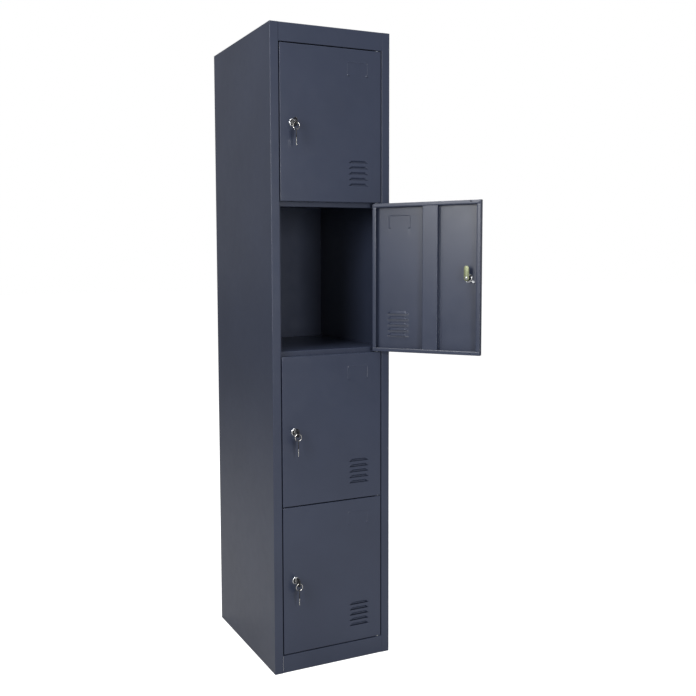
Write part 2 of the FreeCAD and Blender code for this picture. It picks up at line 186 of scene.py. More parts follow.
LOCK_X = 0.038 - HALF_DOOR
LOCK_HOLE = 0.0081
PIN_HOLE = 0.00205
HANGING_HOLE = 0.002
HANGING_HOLE_X = 0.028 - HALF_DOOR
HANGING_HOLE_DROP = 0.0045
SEAM = 0.0003  # where a lip meets the next one at a corner
HANGING_CELL = 0.0029
# The lock's cell and the hanging hole's cell share their left side.
LOCK_CELL = LOCK_X - HANGING_HOLE_X + HANGING_CELL
PIN_CELL = 0.0032
FOLD_STEPS = 6
PLAIN_FROM, PLAIN_WIDE, PLAIN_TALL = 0.014, 0.02, 0.03  # the grid's cells on plain sheet
FINE = 0.00045  # and its lines on pressed sheet, which reach a margin past it
MARGIN = 0.0015
END_WIDE = 0.015  # the part of a louvre or the card frame at each end that has fine lines
SHARP_ANGLE = math.radians(32)


def steps_between(start, stop, step):
    """Evenly spaced values from start to stop, about one step apart."""
    return np.linspace(start, stop, max(2, round(abs(stop - start) / step) + 1))


def merged(*runs):
    """All the values of several runs, in order, with near repeats taken out."""
    values = np.sort(np.concatenate([np.atleast_1d(run) for run in runs]))
    return values[np.concatenate([[True], np.diff(values) > SLIT / 2])]


def into_outline(x, z, left, right, top, corner):
    """Distance inside the outline of two sides and a top edge joined by round corners.

    It is the corner's radius less the length of the part of (x, z) beyond the corners' centres.
    """
    over_x = np.abs(x - (left + right) / 2) - (right - left) / 2 + corner
    over_z = z - top + corner
    rounded = np.hypot(np.maximum(over_x, 0), np.maximum(over_z, 0))
    return corner - rounded - np.minimum(np.maximum(over_x, over_z), 0)


def into_louvre(x, z, low):
    """Distance inside a louvre, from its level top edge or from its nearer slanted end."""
    along = LOUVRE_WIDE / 2 - np.abs(x - LOUVRE_RIGHT + LOUVRE_WIDE / 2)
    slanted = LOUVRE_TALL * along - LOUVRE_SLANT * (z - low)
    return np.minimum(low + LOUVRE_TALL - z, slanted / math.hypot(LOUVRE_TALL, LOUVRE_SLANT))


def drawn_down(inside, wall, open_edge, z):
    """Share of a pressing's full depth, over a lanced edge that is left open.

    It rises evenly as the distance inside goes over the width of the sloping wall.
    """
    return np.where(z > open_edge, np.clip(inside / wall, 0, 1), 0)


def skin_relief(x, z, low, high):
    """How far the front skin stands inwards at (x, z): louvres are positive, the bead negative."""
    deep = np.zeros(np.broadcast(x, z).shape)
    for row in range(LOUVRES):
        lance = low + LOUVRE_LOWEST + row * LOUVRE_PITCH
        deep += LOUVRE_DEEP * drawn_down(into_louvre(x, z, lance), LOUVRE_WALL, lance, z)
    card_top = high - CARD_TOP
    card_low = card_top - CARD_TALL
    left = CARD_RIGHT - CARD_WIDE
    inside = into_outline(x, z, left, CARD_RIGHT, card_top, CARD_CORNER)
    bead = np.clip(1 - (inside / BEAD_HALF) ** 2, 0, 1) ** 2
    deep -= BEAD_HEIGHT * np.where(z > card_low + TAB_TALL / 2, bead, 0)
    for tab_left in (left - BEAD_HALF, CARD_RIGHT + BEAD_HALF - TAB_WIDE):
        inside = into_outline(x, z, tab_left, tab_left + TAB_WIDE, card_low + TAB_TALL, TAB_WALL)
        share = drawn_down(inside, TAB_WALL, card_low, z)
        deep = np.minimum(deep, np.where(share > 0, -TAB_HEIGHT * share, deep))
    return deep


def pan_lines(low, high):
    """The lines of the grid over a door: close together where the skin is pressed."""
    louvre_left = LOUVRE_RIGHT - LOUVRE_WIDE
    card_left = CARD_RIGHT - CARD_WIDE
    x = merged(
        [-BEYOND, BEYOND],
        steps_between(PLAIN_FROM - HALF_DOOR, HALF_DOOR - PLAIN_FROM, PLAIN_WIDE),
        [HANGING_HOLE_X - HANGING_CELL, HANGING_HOLE_X + HANGING_CELL],
        [LOCK_X - LOCK_CELL, LOCK_X + LOCK_CELL, PIN[0] - PIN_CELL, PIN[0] + PIN_CELL],
        steps_between(card_left - MARGIN, louvre_left + END_WIDE, FINE),
        steps_between(LOUVRE_RIGHT - END_WIDE, LOUVRE_RIGHT + MARGIN, FINE),
    )
    lock_z = (low + high) / 2
    card_top = high - CARD_TOP
    card_low = card_top - CARD_TALL
    runs = [
        np.array([-BEYOND, BEYOND]),
        steps_between(low + PLAIN_FROM, high - PLAIN_FROM, PLAIN_TALL),
        np.array([lock_z - LOCK_CELL, lock_z + LOCK_CELL]),
        steps_between(card_top - CARD_CORNER - MARGIN, card_top + MARGIN, FINE),
        steps_between(card_low + FINE, card_low + TAB_TALL + MARGIN, FINE),
        np.array([card_low - SLIT, card_low + SLIT]),
    ]
    for edge in (low + LIP, high - LIP):
        runs.append(np.array([edge - SEAM / 2, edge + SEAM / 2]))
    for row in range(LOUVRES):
        lance = low + LOUVRE_LOWEST + row * LOUVRE_PITCH
        runs.append(np.array([lance - SLIT]))
        runs.append(steps_between(lance + SLIT, lance + LOUVRE_TALL, FINE))
    return x, merged(*runs)


def bored(points, sides, centre, radius, quarter=6):
    """Fills a square cell with a plate that has a round hole.

    Each side is a run of point numbers from one corner to the next. The hole's points run round
    from the direction of the first corner. Each side and its quarter of the hole make one face.
    """
    toward = [points[side[0]] - centre for side in sides[:2]]
    first, second = (v / np.linalg.norm(v) for v in toward)
    angle = np.arange(4 * quarter)[:, None] * (math.pi / 2 / quarter)
    rim = centre + radius * (np.cos(angle) * first + np.sin(angle) * second)
    faces = []
    for turn, side in enumerate(sides):
        arc = turn * quarter + np.arange(quarter, -1, -1)
        faces.append((*side, *(len(points) + arc % (4 * quarter))))
    return np.vstack([points, rim]), faces


def drawn_in(values, inset, near, far):
    """Values moved in where they lie less than the inset from the near or the far end."""
    return np.clip(values, near + inset, far - inset)


def pan_front(x, z, low, high):
    """The front as a grid over x and z: its points, their numbers in rows, and its faces.

    The cells that a slit closes up and those round the lock's hole are left out.
    """
    grid_x, grid_z = np.meshgrid(
        drawn_in(x, FOLD, -HALF_DOOR, HALF_DOOR), drawn_in(z, FOLD, low, high)
    )
    points = np.stack([grid_x, FRONT + skin_relief(grid_x, grid_z, low, high), grid_z], -1)
    ids = np.arange(grid_x.size).reshape(grid_x.shape)
    cells = np.stack([ids[:-1, :-1], ids[:-1, 1:], ids[1:, 1:], ids[1:, :-1]], -1)
    off_lock_x = np.abs((x[:-1] + x[1:]) / 2 - LOCK_X) > LOCK_CELL
    off_lock_z = np.abs((z[:-1] + z[1:]) / 2 - (low + high) / 2) > LOCK_CELL
    kept = (np.diff(z) > 3 * SLIT)[:, None] & (off_lock_z[:, None] | off_lock_x)
    return points.reshape(-1, 3), ids, cells[kept].tolist()


def lock_sides(x, z, ids, lock_z):
    """The four sides of the square round the lock's hole."""
    left, right = (np.abs(x - LOCK_X - side * LOCK_CELL).argmin() for side in (-1, 1))
    under, over = (np.abs(z - lock_z - side * LOCK_CELL).argmin() for side in (-1, 1))
    square = ids[under : over + 1, left : right + 1]
    return [square[0], square[:, -1], square[-1, ::-1], square[::-1, 0]]


def edge_profile():
    """The folded edge as rows of (distance in from the door's edge, depth), front fold to lip."""
    angle = np.linspace(0, math.pi / 2, FOLD_STEPS + 1)[1:]
    sine, cosine = FOLD * np.sin(angle), FOLD * np.cos(angle)
    pin_depth = PIN[1] - FRONT
    wall = [[0, pin_depth - PIN_CELL], [0, pin_depth + PIN_CELL], [0, DOOR_DEPTH - FOLD]]
    lip = [[2 * HANGING_HOLE_DROP - FOLD, DOOR_DEPTH], [LIP, DOOR_DEPTH]]
    front_fold = np.stack([FOLD - sine, FOLD - cosine], -1)
    back_fold = np.stack([FOLD - cosine, DOOR_DEPTH - FOLD + sine], -1)
    return np.vstack([front_fold, wall, back_fold, lip])


def pan_edge(x, z, ids, low, high):
    """The folded edge: its points, its faces, and the (sides, centre, radius) of its holes.

    The profile is carried round the rim of the front, whose corners become mitres. A seam parts
    the lips there.
    """
    profile = edge_profile()
    inset, depth = profile[:, :1], profile[:, 1:]
    sides_x, ends_z = np.full(len(z) - 2, BEYOND), np.full(len(x), BEYOND)
    loop_x = np.concatenate([x, sides_x, x[::-1], -sides_x])
    loop_z = np.concatenate([-ends_z, z[1:-1], ends_z, z[-2:0:-1]])
    rim = np.concatenate([ids[0], ids[1:-1, -1], ids[-1, ::-1], ids[-2:0:-1, 0]])
    across = drawn_in(loop_x, inset, -HALF_DOOR, HALF_DOOR)
    points = np.stack([across, FRONT + depth + 0 * across, drawn_in(loop_z, inset, low, high)], -1)
    loops = np.vstack([rim, ids.size + np.arange(across.size).reshape(across.shape)])
    after = np.roll(loops, -1, 1)
    quads = np.stack([loops[:-1], loops[1:], after[1:], after[:-1]], -1)

    next_x, next_z = np.roll(loop_x, -1), np.roll(loop_z, -1)
    upright = (np.abs(loop_x) == BEYOND) & (np.abs(next_x) == BEYOND)
    between_z = (loop_z + next_z) / 2
    to_seam = np.minimum(np.abs(between_z - low - LIP), np.abs(between_z - high + LIP))
    kept = np.ones(quads.shape[:2], bool)
    kept[-2:, upright & (to_seam < SEAM / 4)] = False

    pin_row, lip_row = FOLD_STEPS + 1, len(profile) - 2
    holes = []
    for end, inward in ((low, 1), (high, -1)):
        level = np.where(loop_z == -inward * BEYOND)[0]
        hanging = (HANGING_HOLE_X, FRONT + DOOR_DEPTH, end + inward * HANGING_HOLE_DROP)
        for row, centre, radius in (
            (pin_row, (*PIN, end), PIN_HOLE),
            (lip_row, hanging, HANGING_HOLE),
        ):
            column = level[np.abs((loop_x + next_x)[level] / 2 - centre[0]).argmin()]
            kept[row, column] = False
            corners = quads[row, column]
            sides = np.stack([corners, np.roll(corners, -1)], -1)
            holes.append((sides, np.array(centre), radius))
    return points.reshape(-1, 3), quads[kept].tolist(), holes


def door_pan(low, high):
    """Points and faces of the outer side of a door's sheet, with its holes."""
    x, z = pan_lines(low, high)
    points, ids, faces = pan_front(x, z, low, high)
    edge_points, edge_faces, holes = pan_edge(x, z, ids, low, high)
    points = np.vstack([points, edge_points])
    faces += edge_faces
    lock_z = (low + high) / 2
    holes.append((lock_sides(x, z, ids, lock_z), np.array([LOCK_X, FRONT, lock_z]), LOCK_HOLE))
    for sides, centre, radius in holes:
        points, ring = bored(points, sides, centre, radius)
        faces += ring
    return points, faces


def swung(points, door):
    """Turns points from the shut door to where the door stands, about its hinge pin."""
    angle = math.radians(OPEN_TURN[door])
    c, s = math.cos(angle), math.sin(angle)
    dx, dy = points[..., 0] - PIN[0], points[..., 1] - PIN[1]
    return np.stack([PIN[0] + c * dx - s * dy, PIN[1] + s * dx + c * dy, points[..., 2]], -1)


def make_piece(name, points, faces, finish, closed=True):
    """A mesh object whose coinciding points are joined.

    A closed one has its faces turned outwards.
    """
    mesh = bpy.data.meshes.new(name)
    mesh.from_pydata(points.tolist(), [], faces)
    shell = bmesh.new()
    shell.from_mesh(mesh)
    bmesh.ops.remove_doubles(shell, verts=shell.verts, dist=3 * SLIT)
    if closed:
        bmesh.ops.recalc_face_normals(shell, faces=shell.faces)
    shell.to_mesh(mesh)
    shell.free()
    mesh.materials.append(finish)
    mesh.shade_smooth()
    mesh.set_sharp_from_angle(angle=SHARP_ANGLE)
    piece = bpy.data.objects.new(name, mesh)
    bpy.context.scene.collection.objects.link(piece)
    return piece


def door_ends(door):
    """The lowest and highest z of a door."""
    low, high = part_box(f"door_{door}_panel")
    return low.z, high.z


for door in DOORS:
    points, faces = door_pan(*door_ends(door))
    pan = make_piece(f"door_{door}_pan", swung(points, door), faces, POWDER_COAT, closed=False)
    metal = pan.modifiers.new("sheet", "SOLIDIFY")
    metal.thickness = SHEET
    metal.offset = -1
    metal.use_even_offset = True
    shading = pan.modifiers.new("flat faces lead", "WEIGHTED_NORMAL")
    shading.keep_sharp = True
    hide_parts(f"door_{door}_panel")
    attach(pan, f"door_{door}")


# ---- Hinge pins and pivot washers --------------------------------------------------------
# Turned steel pins, zinc plated, are pressed into the hinge plates. Each door hangs between
# two of them and rests on a thin nylon washer.

PIN_RADIUS = 0.002
PIN_CHAMFER = 0.0004
AROUND = 48
PLATED_GLOSS = 0.3
SCRATCH_STRETCH = (1, 1, 0.15)
SCRATCH_HEIGHT = 0.000004


def plated(name, colour, roughness, grain, mottle):
    """Plated metal: bright, with streaks of the grain's size that vary its tone and gloss."""
    finish, tree, shader = new_finish(name, 1.0)
    streaks = spread(tree, noise_on_metal(tree, grain, 3.0), 0.0, 1.0)
    dull = [(1 - mottle) * c for c in colour]
    tree.links.new(blend_colours(tree, streaks, dull, colour), shader.inputs["Base Color"])
    low, high = (1 - PLATED_GLOSS) * roughness, (1 + PLATED_GLOSS) * roughness
    gloss = spread(tree, noise_on_metal(tree, grain / 3, 4.0), low, high)
    tree.links.new(gloss, shader.inputs["Roughness"])
    scratches = noise_on_metal(tree, grain / 8, 2.0, SCRATCH_STRETCH)
    tree.links.new(relief(tree, scratches, SCRATCH_HEIGHT), shader.inputs["Normal"])
    return finish


def carried_round(profile, centre, axis, turns=AROUND):
    """A turned part: a closed profile of (along, radius) carried round an axis through a centre."""
    angle = np.arange(turns) * (2 * math.pi / turns)
    along = np.repeat(profile[:, :1], turns, 1)
    across = profile[:, 1:] * np.cos(angle)
    over = profile[:, 1:] * np.sin(angle)
    order = {"y": (across, along, over), "z": (across, over, along)}[axis]
    points = (np.stack(order, -1) + np.array(centre)).reshape(-1, 3)
    return points, wrapped(len(profile), turns)


def wrapped(rows, columns, start=0):
    """Faces of a grid whose last row joins its first, and whose last column joins its first."""
    ids = start + np.arange(rows * columns).reshape(rows, columns)
    above, beside = np.roll(ids, -1, 0), np.roll(ids, -1, 1)
    corner = np.roll(above, -1, 1)
    return np.stack([ids, beside, corner, above], -1).reshape(-1, 4).tolist()


def gathered(parts):
    """Several (points, faces) parts as one."""
    starts = np.cumsum([0] + [len(points) for points, _ in parts])
    faces = [[i + start for i in face] for (_, fs), start in zip(parts, starts) for face in fs]
    return np.vstack([points for points, _ in parts]), faces


ZINC = plated("bright_zinc", (0.62, 0.64, 0.66), roughness=0.24, grain=0.004, mottle=0.18)


def pin_profile(low, high):
    """A pin's outline: its axis, a chamfered end, the shank, and the other end."""
    r, c = PIN_RADIUS, PIN_CHAMFER
    return np.array([[low, 0], [low, r - c], [low + c, r], [high - c, r], [high, r - c], [high, 0]])


def gap_levels():
    """Heights of the middles of the gaps over, between and under the doors."""
    ends = np.array([door_ends(door) for door in DOORS])
    half_gap = (ends[0, 0] - ends[1, 1]) / 2
    return np.append(ends[:, 1] + half_gap, ends[-1, 0] - half_gap)


LEVELS = gap_levels()
PIN_REACH = 0.0053
lowest, highest = (corner.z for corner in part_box("hinge_pins"))
pins = []
for level in LEVELS:
    outline = pin_profile(max(level - PIN_REACH, lowest), min(level + PIN_REACH, highest))
    pins.append(carried_round(outline, (*PIN, 0), "z"))
shafts = make_piece("hinge_shafts", *gathered(pins), ZINC)
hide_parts("hinge_pins")
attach(shafts, "carcass")

NYLON_COLOUR = (0.72, 0.71, 0.66)
WASHER_OUTER = 0.004
WASHER_BORE = 0.00205
WASHER_THICK = 0.0006
WASHER_EDGE = 0.00015
MOULDED_PALER = 1.25
MOULDED_GLOSS = 0.15


def moulded(name, colour, roughness, grain, height):
    """Moulded plastic: one colour with a faint drift, and a fine tooled grain."""
    finish, tree, shader = new_finish(name, 0.0)
    drift = spread(tree, noise_on_metal(tree, 8 * grain, 2.0), 0.0, 1.0)
    paler = [min(1.0, MOULDED_PALER * c) for c in colour]
    tree.links.new(blend_colours(tree, drift, colour, paler), shader.inputs["Base Color"])
    low, high = (1 - MOULDED_GLOSS) * roughness, (1 + MOULDED_GLOSS) * roughness
    gloss = spread(tree, noise_on_metal(tree, 4 * grain, 3.0), low, high)
    tree.links.new(gloss, shader.inputs["Roughness"])
    pits = noise_on_metal(tree, grain, 2.0)
    tree.links.new(relief(tree, pits, height), shader.inputs["Normal"])
    return finish


def ring_profile(low, high, inner, outer, edge):
    """Closed outline of a flat ring with its outer edges chamfered."""
    lower = [[low, inner], [low, outer - edge], [low + edge, outer]]
    upper = [[high - edge, outer], [high, outer - edge], [high, inner]]
    return np.array(lower + upper)


NYLON = moulded("natural_nylon", NYLON_COLOUR, roughness=0.5, grain=0.0004, height=0.00001)
washer_low, washer_high = (corner.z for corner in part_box("pivot_washers"))
discs = []
for level in LEVELS[1:]:
    top = level + (washer_high - LEVELS[1])
    base = washer_low if level == LEVELS[-1] else top - WASHER_THICK
    outline = ring_profile(base, top, WASHER_BORE, WASHER_OUTER, WASHER_EDGE)
    discs.append(carried_round(outline, (*PIN, 0), "z"))
discs = make_piece("pivot_discs", *gathered(discs), NYLON)
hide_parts("pivot_washers")
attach(discs, "carcass")


# ---- Lock housings -----------------------------------------------------------------------
# A die-cast zinc cylinder with a domed rosette, threaded along its barrel and chrome plated.
# It goes through the door from the front, and a washer and a nut clamp it from behind.

ROSETTE_RADIUS = 0.011
ROSETTE_TALL = 0.0025
ROSETTE_ROUND = 0.0018
ROSETTE_FOOT = 0.0004  # how far its back is smaller than its rim
DISH_OUTER, DISH_INNER = 0.0082, 0.0068
ROSETTE_STEPS = 9
BARREL_RADIUS = 0.008
BARREL_LONG = 0.0175
BARREL_STEPS = 141
BARREL_BORE = 0.00605
THREAD_PITCH = 0.0015
THREAD_DEEP = 0.0006
THREAD_FROM = 0.0016
PLUG_SEAT = 0.0004

CHROME = plated("chrome_plate", (0.80, 0.81, 0.83), roughness=0.09, grain=0.006, mottle=0.04)


def lock_axis(door):
    """A point on the lock's axis of a shut door, in the plane of the door's front."""
    low, high = door_ends(door)
    return np.array([LOCK_X, FRONT, (low + high) / 2])


def rosette_outline():
    """Closed outline of (depth, radius): a quarter-round rim, a dished face and the bore."""
    angle = np.linspace(0, math.pi / 2, ROSETTE_STEPS)
    rim_radius = ROSETTE_RADIUS - ROSETTE_ROUND * (1 - np.cos(angle))
    rim = np.stack([-ROSETTE_TALL * np.sin(angle), rim_radius], -1)
    dish = np.array([[-ROSETTE_TALL, DISH_OUTER], [PLUG_SEAT - ROSETTE_TALL, DISH_INNER]])
    mouth = np.array([[PLUG_SEAT - ROSETTE_TALL, BARREL_BORE], [0, BARREL_BORE]])
    return np.vstack([rim, dish, mouth, [[0, ROSETTE_RADIUS - ROSETTE_FOOT]]])


def threaded_barrel(turns=AROUND):
    """The barrel: its radius falls by a triangle wave of (depth / pitch - angle / full turn)."""
    depth = np.linspace(0, BARREL_LONG, BARREL_STEPS)
    angle = np.arange(turns) * (2 * math.pi / turns)
    phase = (depth[:, None] / THREAD_PITCH - angle / (2 * math.pi)) % 1
    cut = THREAD_DEEP * np.abs(2 * phase - 1)
    runout = np.clip((depth - THREAD_FROM) / THREAD_PITCH, 0, 1)
    runout *= np.clip((BARREL_LONG - depth) / THREAD_PITCH * 2, 0, 1)
    radius = BARREL_RADIUS - cut * runout[:, None]
    level = depth[:, None] + 0 * radius
    outside = np.stack([radius * np.cos(angle), level, radius * np.sin(angle)], -1)
    bore_radius = np.full((2, 1), BARREL_BORE)
    bore_depth = np.array([[BARREL_LONG], [0]])
    inside = np.stack(
        [bore_radius * np.cos(angle), bore_depth + 0 * angle, bore_radius * np.sin(angle)], -1
    )
    points = np.vstack([outside, inside]).reshape(-1, 3)
    return points, wrapped(len(depth) + 2, turns)


for door in DOORS:
    centre = lock_axis(door)
    barrel, barrel_faces = threaded_barrel()
    parts = [carried_round(rosette_outline(), centre, "y"), (barrel + centre, barrel_faces)]
    points, faces = gathered(parts)
    housing = make_piece(f"door_{door}_lock_cylinder", swung(points, door), faces, CHROME)
    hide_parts(f"door_{door}_lock_housing")
    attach(housing, f"door_{door}")
    coat(f"door_{door}_lock_plug", CHROME)
    coat(f"door_{door}_lock_washer", ZINC)


# ---- Lock nuts, cams and cam screws ------------------------------------------------------
# The nut is a pressed hexagon, chamfered on both faces. The cam is a stamped arm in olive-yellow
# passivated zinc, held on the plug's square by a cross-recessed screw.

NUT_FLATS = 0.020
NUT_THICK = 0.005
NUT_CORNER = 0.0111
NUT_EDGE = 0.0006
CAM_DEPTH = 0.0213  # from the door's front to the cam
CAM_THICK = 0.0018
CAM_HALF = 0.0075
CAM_LONG = 0.035
CAM_HUB = 0.0078
CAM_SQUARE = 0.0035
CAM_EDGE = 0.0003
EDGE_STEPS = 4
SCREW_HEAD = 0.0045
SCREW_DOME = 0.0024
SCREW_RIM = 0.0008
RECESS_DEEP = 0.0012
RECESS_HALF = 0.0022
RECESS_WIDE = 0.0006
RECESS_WALL = 0.0002
RECESS_END = 0.0004

PASSIVATE = plated(
    "olive_passivate", (0.17, 0.185, 0.115), roughness=0.42, grain=0.005, mottle=0.14
)


def bored_plate(outline, hole, thick, edge):
    """A flat plate between two outlines of matching points, at depth 0 to thick.

    The outer edge is rounded: it moves in by edge * (1 - cos a) as the depth goes from the
    face by edge * (1 - sin a), along the outline's own normals.
    """
    tangent = np.roll(outline, -1, 0) - np.roll(outline, 1, 0)
    normal = np.stack([tangent[:, 1], -tangent[:, 0]], -1)
    normal /= np.linalg.norm(normal, axis=1, keepdims=True)
    angle = np.linspace(math.pi / 2, 0, EDGE_STEPS)
    inset = edge * (1 - np.cos(angle))
    depth = edge * (1 - np.sin(angle))
    insets = np.concatenate([inset, inset[::-1]])
    depths = np.concatenate([depth, thick - depth[::-1]])
    rims = outline[None] - insets[:, None, None] * normal[None]
    rings = np.concatenate([hole[None], rims, hole[None]])
    depths = np.concatenate([[0], depths, [thick]])
    level = np.broadcast_to(depths[:, None, None], (*rings.shape[:2], 1))
    points = np.concatenate([rings[..., :1], level, rings[..., 1:]], -1).reshape(-1, 3)
    return points, wrapped(len(rings), len(outline))


def around(count):
    """Directions evenly spaced round a circle."""
    angle = np.arange(count) * (2 * math.pi / count)
    return angle, np.stack([np.cos(angle), np.sin(angle)], -1)


def hexagon(count=96):
    """A hexagon from its flats, half / cos(angle from the nearest flat), with turned corners."""
    angle, direction = around(count)
    from_flat = (angle + math.pi / 6) % (math.pi / 3) - math.pi / 6
    radius = np.minimum(NUT_FLATS / 2 / np.cos(from_flat), NUT_CORNER)
    return radius[:, None] * direction, BARREL_RADIUS * direction


def cam_arm(count=160):
    """The farther of a hub's circle and an arm with a round end, in each direction."""
    _, direction = around(count)
    up, side = direction[:, 1], np.abs(direction[:, 0])
    tip = CAM_LONG - CAM_HALF
    to_side = CAM_HALF / np.maximum(side, SLIT)
    to_end = tip * up + np.sqrt(np.maximum(CAM_HALF**2 - (tip * side) ** 2, 0))
    reach = np.where(to_side * up < tip, to_side, to_end)
    radius = np.where(up > 0, np.maximum(CAM_HUB, reach), CAM_HUB)
    square = CAM_SQUARE / np.max(np.abs(direction), 1)
    return radius[:, None] * direction, square[:, None] * direction


def screw_head(turns=96, rings=14):
    """A dome on a rim, with a cross sunk into it.

    The height is the rim plus the rest of the head's height times sqrt(1 - (r/R)^2).
    """
    angle = np.arange(turns) * (2 * math.pi / turns)
    radius = np.linspace(0, SCREW_HEAD, rings)[:, None]
    x, z = radius * np.cos(angle), radius * np.sin(angle)
    height = SCREW_RIM + (SCREW_DOME - SCREW_RIM) * np.sqrt(1 - (radius / SCREW_HEAD) ** 2)
    near, far = np.minimum(np.abs(x), np.abs(z)), np.maximum(np.abs(x), np.abs(z))
    cross = np.clip((RECESS_WIDE - near) / RECESS_WALL, 0, 1)
    cross = cross * np.clip((RECESS_HALF - far) / RECESS_END, 0, 1)
    top = np.stack([x, height - RECESS_DEEP * cross, z], -1)
    foot = np.stack([x[-1], 0 * x[-1], z[-1]], -1)[None]
    base = np.zeros((1, turns, 3))
    points = np.concatenate([top, foot, base]).reshape(-1, 3)
    return points, wrapped(rings + 2, turns)[: (rings + 1) * turns]


for door in DOORS:
    axis = lock_axis(door)
    for name, node, body, slot, finish, shape, depth in (
        ("nut", "lock_nut", "door", "lock_chrome", CHROME,
         bored_plate(*hexagon(), NUT_THICK, NUT_EDGE), 2 * SHEET),
        ("cam_plate", "cam", "lock", "cam_plate", PASSIVATE,
         bored_plate(*cam_arm(), CAM_THICK, CAM_EDGE), CAM_DEPTH),
        ("cam_fixing", "cam_screw", "lock", "hinge_steel", ZINC, screw_head(),
         CAM_DEPTH + CAM_THICK),
    ):
        points = shape[0] + axis + (0, depth, 0)
        piece = make_piece(f"door_{door}_{name}", swung(points, door), shape[1], finish)
        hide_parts(f"door_{door}_{node}")
        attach(piece, f"{body}_{door}")


# ---- Keys --------------------------------------------------------------------------------
# Each lock has two nickel-plated brass keys with black moulded grips. One is in the lock, and
# the other hangs from it on a split ring.

GRIP_LONG = 0.026
GRIP_HALF = 0.012
GRIP_THICK = 0.0026
GRIP_POWER = 3.4
GRIP_EDGE = 0.0007
KEY_HOLE = 0.00275
KEY_HOLE_FROM_END = 0.006
KEY_STANDOFF = 0.003
BLADE_HALF = 0.0035
BLADE_THICK = 0.0018
BLADE_LONG = 0.0225
BLADE_IN_GRIP = 0.0015
BLADE_POINT = 0.0025
BLADE_TIP = 0.12  # share of the blade's height that is left at its end
BLADE_PLAIN = 0.004
BLADE_CHAMFER = 0.00025
CUT_DEEP = 0.0013
CUT_DEPTHS = (0.5, 1.0, 0.3, 0.8)
CUT_SLOPE = 1.4
WARD_DEEP = 0.0004
WARD_SHARES = (0.38, 0.42, 0.56, 0.6)  # where the ward groove's slopes start and end
RING_RADIUS = 0.010
RING_WIRE = 0.0008
RING_START = 0.6
RING_PLAY = 0.00005
HANG_PLAY = 0.0003
SPARE_TWIST = math.radians(-25)


def key_grip(count=96):
    """The grip, as (along the key, thickness, across it), with the ring's hole at the origin.

    Its outline is a superellipse, |u/a|^p + |v/b|^p = 1.
    """
    angle = np.arange(count) * (2 * math.pi / count)
    c, s = np.cos(angle), np.sin(angle)
    power = 2 / GRIP_POWER
    along = GRIP_LONG / 2 * (1 + np.sign(c) * np.abs(c) ** power) - KEY_HOLE_FROM_END
    outline = np.stack([along, GRIP_HALF * np.sign(s) * np.abs(s) ** power], -1)
    toward = outline / np.linalg.norm(outline, axis=1, keepdims=True)
    points, faces = bored_plate(outline, KEY_HOLE * toward, GRIP_THICK, GRIP_EDGE)
    return points - (0, GRIP_THICK / 2, 0), faces


def capped_tube(rings):
    """Rings of points joined in order, with a face over each end."""
    ids = np.arange(rings.shape[0] * rings.shape[1]).reshape(rings.shape[:2])
    beside = np.roll(ids, -1, 1)
    faces = np.stack([ids[:-1], beside[:-1], beside[1:], ids[1:]], -1).reshape(-1, 4).tolist()
    faces += [ids[0, ::-1].tolist(), ids[-1].tolist()]
    return rings.reshape(-1, 3), faces


def key_blade(stations=120):
    """The blade: a grooved bar with flat-bottomed cuts along one edge and a pointed end.

    Each cut takes off its depth times the slope times (1 - 2|t|), but no more than its depth,
    where t runs from -1/2 to 1/2.
    """
    start = GRIP_LONG - KEY_HOLE_FROM_END - BLADE_IN_GRIP
    total = BLADE_IN_GRIP + BLADE_LONG
    along = np.linspace(0, total, stations)
    room = BLADE_LONG - BLADE_PLAIN - BLADE_POINT
    fraction = (along - BLADE_IN_GRIP - BLADE_PLAIN) / room * len(CUT_DEPTHS)
    cell = np.clip(np.floor(fraction).astype(int), 0, len(CUT_DEPTHS) - 1)
    inside = (fraction >= 0) & (fraction < len(CUT_DEPTHS))
    notch = np.clip(CUT_SLOPE * (1 - 2 * np.abs(fraction - cell - 0.5)), 0, 1)
    cut = CUT_DEEP * np.array(CUT_DEPTHS)[cell] * notch * inside
    point = np.clip((total - along) / BLADE_POINT, BLADE_TIP, 1)
    top, bottom = BLADE_HALF * point, -(BLADE_HALF - cut) * point
    half = BLADE_THICK / 2
    edge, ward = half - BLADE_CHAMFER, half - WARD_DEEP
    side = np.array([edge, half, half, ward, ward, half, half, edge])
    bevel = BLADE_CHAMFER / BLADE_HALF / 2
    share = np.array([0, bevel, *WARD_SHARES, 1 - bevel, 1])
    thickness = np.concatenate([side, -side[::-1]])
    height = np.concatenate([share, share[::-1]])
    across = bottom[:, None] + (top - bottom)[:, None] * height
    stations_at = start + along[:, None] + 0 * across
    return capped_tube(np.stack([stations_at, thickness + 0 * across, across], -1))


def split_ring(coils=2, steps=240, section=12):
    """A wire of oval section carried round two turns, side by side, with blunt ends.

    The wire moves evenly along the axis, by its own width over all the turns.
    """
    t = np.linspace(0, coils, steps)
    turn = t * 2 * math.pi + RING_START
    shift = RING_WIRE * (t / coils - 0.5)
    angle = np.arange(section) * (2 * math.pi / section)
    radius = RING_RADIUS + RING_WIRE * np.cos(angle)
    over = shift[:, None] + RING_WIRE / 2 * np.sin(angle)
    cosine, sine = np.cos(turn)[:, None], np.sin(turn)[:, None]
    return capped_tube(np.stack([radius * cosine, over, radius * sine], -1))


def pointing_back(shape):
    """A key's own directions as those of a key in the lock: along is Y and the flat faces X."""
    along, thickness, across = shape.T
    return np.stack([thickness, along, across], -1)


def hanging(shape):
    """The same key hanging by its hole, and turned about the vertical."""
    along, thickness, across = shape.T
    c, s = math.cos(SPARE_TWIST), math.sin(SPARE_TWIST)
    return np.stack([c * thickness - s * across, s * thickness + c * across, -along], -1)


